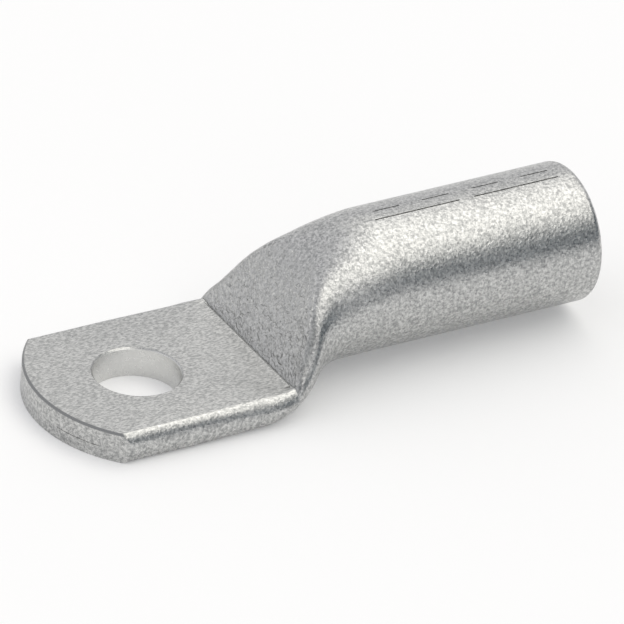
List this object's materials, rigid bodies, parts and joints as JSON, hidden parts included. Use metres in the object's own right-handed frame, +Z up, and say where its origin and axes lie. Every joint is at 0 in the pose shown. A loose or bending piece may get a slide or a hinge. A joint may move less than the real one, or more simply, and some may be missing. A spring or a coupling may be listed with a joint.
{
  "type": "tubular cable lug",
  "caption": "Tinned copper tube lug: round crimp barrel with a straight bore, dished step and flat palm with a round bolt hole.",
  "frame": {"origin": "centre of the bolt hole on the underside of the palm", "axes": "+X along the barrel towards its mouth, +Z up through the palm, +Y across it"},
  "size_m": [0.0881, 0.0308, 0.022],
  "materials": {
    "tin_plate": "matt tin plate on pressed copper tube"
  },
  "bodies": {
    "root": {"cable_lug": "tin_plate"}
  },
  "joints": []
}
